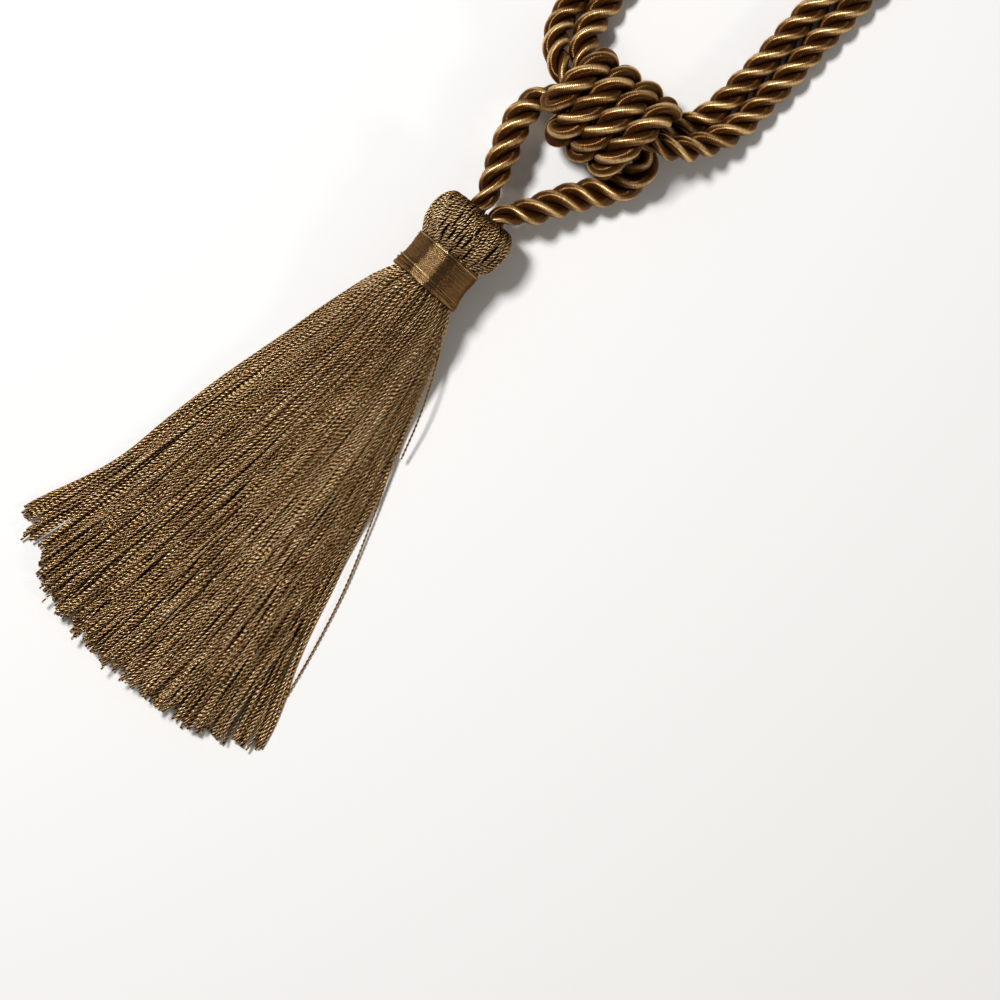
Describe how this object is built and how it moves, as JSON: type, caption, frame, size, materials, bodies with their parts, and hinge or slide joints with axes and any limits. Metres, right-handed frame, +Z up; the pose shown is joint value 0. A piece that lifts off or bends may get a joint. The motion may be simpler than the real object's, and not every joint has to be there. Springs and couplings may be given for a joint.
{
  "type": "curtain tieback tassel",
  "caption": "Thread tassel with a ball head and bound neck, hung by a rope bridle from a knot in a doubled, twisted rope that loops over a wall hook to hold a curtain back.",
  "frame": {"origin": "on the surface the tieback lies on, at the middle of the small flat under the tassel's ball head", "axes": "+Y along the tassel from its skirt toward the knot and the rope's end loops, +Z up, +X to the right seen from above"},
  "size_m": [0.1398, 0.604, 0.039],
  "materials": {
    "tassel_thread": "bronze-gold twisted rayon thread, satin, with bright glints",
    "binding_satin": "fine satin thread wound side by side, glossy across the winding",
    "bridle_cord": "three-strand twisted cord covered in satin thread, brown with a gold sheen",
    "knot_cord": "three-strand twisted cord covered in satin thread, brown with a gold sheen",
    "tie_cord": "three-strand twisted cord covered in satin thread, brown with a gold sheen"
  },
  "bodies": {
    "root": {"tassel": "tassel_thread", "neck_binding": "binding_satin", "bridle_rope": "bridle_cord", "knot_wrap": "knot_cord", "tie_rope": "tie_cord"}
  },
  "joints": []
}
